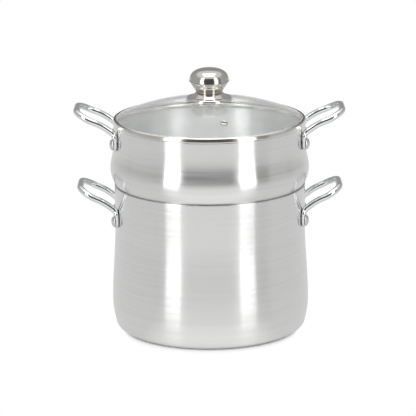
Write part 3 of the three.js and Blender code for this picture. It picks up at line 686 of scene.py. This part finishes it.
# Knob
# Three pressings of polished stainless steel: a coned flange with a groove and a rounded rim that meets
# the glass, a cup that widens from its drawn-in neck, and a domed cap whose sharp hem closes the cup.
KNOB_SHEET = 0.0009
SCREW_BORE = 0.0028
NECK = 0.0172
NECK_DRAW = 0.0011  # how far the neck draws in towards the cup's base
NECK_ROUND = 0.0006
NECK_FROM, NECK_TO = 0.0012, 0.0034  # heights of the neck's ends over the cup's base
FLARE_FROM = 0.0041  # where the cup begins to widen
FLANGE = 0.0284
FLANGE_HEIGHT = 0.0072  # from the crown of the glass to the flange's top
RIM_ROUND = 0.0024
RIM_EDGE = 0.0009  # upright edge below the rim's round
GROOVE_LIP = (0.0253, 0.0032)  # radius, and height over the rim's foot
GROOVE_FLOOR = (0.0224, 0.0028)
CONE_FOOT = (0.0215, 0.0031)
CONE_EASE = 0.0003  # the softened edge at the cone's top
CUP_HEIGHT = 0.0148
CUP_INSET, CUP_DROP = 0.00065, 0.0004  # the cup's edge, inside the cap's and below it
KNOB_RADIUS = 0.0245
KNOB_HEM = 0.0006
CAP_HEIGHT = 0.0159
CAP_HOLD = 0.67  # how far the dome holds its direction at the lip and at the top

glass_crown = dome_centre + crown_radius
flange_top = glass_crown + FLANGE_HEIGHT
cup_bottom = flange_top + LID_GAP
knob_lip = cup_bottom + CUP_HEIGHT
sheet_half = KNOB_SHEET / 2
rim_foot = dome(crown_radius, FLANGE) + LID_GAP


def straight(start, end, steps):
    """Evenly spaced points from start to end."""
    return [tuple(a + (b - a) * i / steps for a, b in zip(start, end)) for i in range(steps + 1)]


def over_rim(point):
    """A point whose height is given over the rim's foot."""
    return point[0], rim_foot + point[1]


flange_level = flange_top - sheet_half
flange_line = [
    (FLANGE - sheet_half, rim_foot),
    *arc((FLANGE - sheet_half - RIM_ROUND, rim_foot + RIM_EDGE), RIM_ROUND, 0, 84, 8),
    *straight(over_rim(GROOVE_LIP), over_rim(GROOVE_FLOOR), 3),
    *straight(over_rim(CONE_FOOT), (NECK + CONE_EASE, flange_level - CONE_EASE), 8),
    (NECK - 0.0004, flange_level),
    (SCREW_BORE, flange_level),
]
knob_flange = turned("knob_foot", flange_line, 96)
worked(knob_flange, "SOLIDIFY", thickness=KNOB_SHEET, offset=0, use_even_offset=True)
smooth(knob_flange, 40)
fixed(knob_flange, "lid", "knob_flange", polished_steel)

neck_top = NECK - sheet_half
neck_foot = neck_top - NECK_DRAW
cup_floor = cup_bottom + sheet_half
cup_line = [
    (SCREW_BORE, cup_floor),
    *arc((neck_foot - 0.0007, cup_floor + NECK_ROUND), NECK_ROUND, -90, -24, 4),
    *straight((neck_foot, cup_bottom + NECK_FROM), (neck_top, cup_bottom + NECK_TO), 4),
    *straight((NECK - 0.0001, cup_bottom + FLARE_FROM), (KNOB_RADIUS - CUP_INSET, knob_lip - CUP_DROP), 10),
]
knob_cup = turned("knob_bowl", cup_line, 96)
worked(knob_cup, "SOLIDIFY", thickness=KNOB_SHEET, offset=0, use_even_offset=True)
smooth(knob_cup, 40)
fixed(knob_cup, "lid", "knob_cup", polished_steel)


def cap_face(radius, height, steps):
    """One face of the cap's full dome, from the lip up to the top."""
    return sweep((radius, knob_lip), (radius, knob_lip + CAP_HOLD * height),
                 (CAP_HOLD * radius, knob_lip + height), (0, knob_lip + height), steps)


cap_line = cap_face(KNOB_RADIUS - KNOB_SHEET, CAP_HEIGHT - KNOB_SHEET, 16)[::-1]
cap_line += [(KNOB_RADIUS - 0.0003, knob_lip - 0.0002), (KNOB_RADIUS + KNOB_HEM, knob_lip)]
cap_line += [(KNOB_RADIUS + 0.7 * KNOB_HEM, knob_lip + 0.0004), *cap_face(KNOB_RADIUS, CAP_HEIGHT, 22)[2:]]
knob_cap = turned("knob_top", cap_line, 96)
smooth(knob_cap, 40)
fixed(knob_cap, "lid", "knob_cap", polished_steel)


# Knob fixings
# Inside the knob a nut takes the screw that comes up through the glass. A soft grommet above the glass
# and a gasket below it keep steel off the glass, and a washer spreads the screw's pull.
def plated_steel():
    """Dull zinc plating with its cloudy spangle."""
    material, wire = bare_material("zinc_plate")
    place = wire.node("ShaderNodeTexCoord", output="Object")
    spangle = wire.node("ShaderNodeTexNoise", (), {"Vector": place, "Scale": 400, "Detail": 3})
    shade = {
        "Base Color": colour_between(wire, spangle, (0.52, 0.53, 0.54), (0.70, 0.71, 0.72)),
        "Metallic": 1,
        "Roughness": 0.3 + spangle * 0.2,
    }
    return ended(material, wire, shade)


def soft_silicone():
    """Translucent white silicone with a fine moulded grain."""
    material, wire = bare_material("soft_silicone")
    place = wire.node("ShaderNodeTexCoord", output="Object")
    grain = wire.node("ShaderNodeTexNoise", (), {"Vector": place, "Scale": 900, "Detail": 2})
    shade = {
        "Base Color": colour_between(wire, grain, (0.66, 0.66, 0.64), (0.78, 0.78, 0.76)),
        "Roughness": 0.45 + grain * 0.2,
        "Normal": wire.node("ShaderNodeBump", (), {"Strength": 0.15, "Distance": 0.0002, "Height": grain}),
    }
    return ended(material, wire, shade)


zinc, silicone = plated_steel(), soft_silicone()
for node, material in {
    "knob_nut": zinc, "knob_screw": zinc, "screw_washer": zinc,
    "glass_grommet": silicone, "lower_gasket": silicone,
}.items():
    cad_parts[node].data.materials.clear()
    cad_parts[node].data.materials.append(material)


# Studio
# A white floor under even white light, two tall soft boxes in front at either side and one overhead,
# and grey walls round them for the metal to reflect. The background is white to the eye.
CAMERA_PLACE = (-0.0025, -2.662, 0.8487)
CAMERA_DOWN = 14.74
CAMERA_ROLL = 0.4
LENS = 190.4
SENSOR = 36
# How light the wall is at each bearing, in degrees to the right of the camera's side.
WALLS = [(-180, 0.34), (-140, 0.42), (-113, 0.48), (-107, 0.42), (-101, 0.5), (-62, 0.45), (-57, 0.5),
         (-37, 0.8), (-29, 0.09), (26, 0.08), (35, 0.6), (54, 0.5), (57, 0.25), (70, 0.25), (76, 0.5),
         (100, 0.5), (106, 0.4), (112, 0.48), (140, 0.42), (180, 0.34)]
CEILING = (0.85, 0.85, 0.85)
WHITE = (1, 1, 1)
SIDE_FLOOR_SHADE = (0.76, 0.76, 0.76)  # painted shade: the floor's tone in the metal away from the front, darker as if less lit there
SHADOW_INNER = 0.111  # the floor's shadow fades between these distances from the pot's axis
SHADOW_OUTER = 0.116
SHADOW_FORE = 0.017  # how much further it reaches in front
BOX_AWAY = 1.9
BOX_HEIGHT = 1.15
BOX_TALL = 2.2
SIDE_POWER = 10.5
TOP_PLACE = (0, -0.1, 2.2)
TOP_SIZE = (1.5, 1.4)
TOP_POWER = 17

bpy.ops.object.camera_add(location=CAMERA_PLACE)
camera = bpy.context.object
aim = Matrix.Rotation(radians(90 - CAMERA_DOWN), 3, "X") @ Matrix.Rotation(radians(-CAMERA_ROLL), 3, "Z")
camera.rotation_euler = aim.to_euler()
camera.data.lens = LENS
camera.data.sensor_width = SENSOR
bpy.context.scene.camera = camera

world = bpy.data.worlds.new("studio_room")
bpy.context.scene.world = world
world.use_nodes = True
world.node_tree.nodes.clear()
wire = Wire(world.node_tree)
x = wire.node("ShaderNodeSeparateXYZ", (), {0: wire.node("ShaderNodeTexCoord", output="Generated")})
bearing = wire.sum("ARCTAN2", x, 0 - x.other("Y")) * (0.5 / pi) + 0.5
stops = [(degrees / 360 + 0.5, tone) for degrees, tone in WALLS]
wall_tone = wire.node("ShaderNodeValToRGB", {"stops": stops}, {0: bearing})
rise = wire.node("ShaderNodeMapRange", {"interpolation_type": "SMOOTHSTEP"},
                 {"Value": x.other("Z"), "From Min": 0.56, "From Max": 0.73})
room = colour_between(wire, rise, wall_tone, CEILING)
seen = wire.node("ShaderNodeLightPath", output="Is Camera Ray")
seen = wire.sum("MAXIMUM", seen, seen.other("Is Transmission Ray"))
light = colour_between(wire, seen, room, WHITE)
background = wire.node("ShaderNodeBackground", (), {"Color": light, "Strength": 1})
wire.node("ShaderNodeOutputWorld", (), {"Surface": background})

bpy.ops.object.select_all(action="DESELECT")
bpy.ops.mesh.primitive_plane_add(size=30, location=(0, 0, 0))
floor = bpy.context.object
floor.name = "floor"
floor_paint, wire = bare_material("white_floor")
x = wire.node("ShaderNodeSeparateXYZ", (), {0: wire.node("ShaderNodeTexCoord", output="Object")})
y = x.other("Y")
reach = (x * x + y * y) ** 0.5
behind = wire.sum("DIVIDE", y, reach)
fore = wire.node("ShaderNodeMapRange", (), {"Value": behind, "From Min": -0.35, "From Max": -0.8})
away = wire.node("ShaderNodeMapRange", {"interpolation_type": "SMOOTHSTEP"}, {
    "Value": reach, "From Min": SHADOW_INNER, "From Max": SHADOW_OUTER + fore * SHADOW_FORE})
# Painted shade: seen in the metal, the floor darkens away from the front, as if less light fell there.
side_shade = wire.node("ShaderNodeMapRange", {"interpolation_type": "SMOOTHSTEP"},
                  {"Value": behind, "From Min": -0.95, "From Max": -0.6})
seen = wire.node("ShaderNodeLightPath", output="Is Camera Ray")
mirrored = wire.sum("MAXIMUM", seen.other("Is Glossy Ray"), seen.other("Is Transmission Ray"))
paint = wire.node("ShaderNodeBsdfPrincipled", (), {"Base Color": (0.9, 0.9, 0.9, 1), "Roughness": 0.8})
tone = colour_between(wire, side_shade * mirrored, WHITE, SIDE_FLOOR_SHADE)
bright = wire.node("ShaderNodeEmission", (), {"Color": tone})
clear = away * wire.sum("MAXIMUM", seen, mirrored)
surface = wire.node("ShaderNodeMixShader", (), {0: clear, 1: paint, 2: bright})
wire.node("ShaderNodeOutputMaterial", (), {"Surface": surface})
floor.data.materials.append(floor_paint)


def soft_box(name, place, turn, size, power):
    """A soft box that lights the object and shows in the metal, but not to the camera."""
    bpy.ops.object.light_add(type="AREA", location=place, rotation=turn)
    box = bpy.context.object
    box.name = name
    box.data.shape = "RECTANGLE"
    box.data.size, box.data.size_y = size
    box.data.energy = power
    box.visible_camera = False


for name, degrees, width in (("left_box", -43.2, 0.60), ("right_box", 43.2, 0.62)):
    angle = radians(degrees)
    soft_box(name, (BOX_AWAY * sin(angle), -BOX_AWAY * cos(angle), BOX_HEIGHT),
             (radians(90), 0, angle), (width, BOX_TALL), SIDE_POWER)
soft_box("top_box", TOP_PLACE, (0, 0, 0), TOP_SIZE, TOP_POWER)

bpy.context.scene.view_settings.view_transform = "Standard"
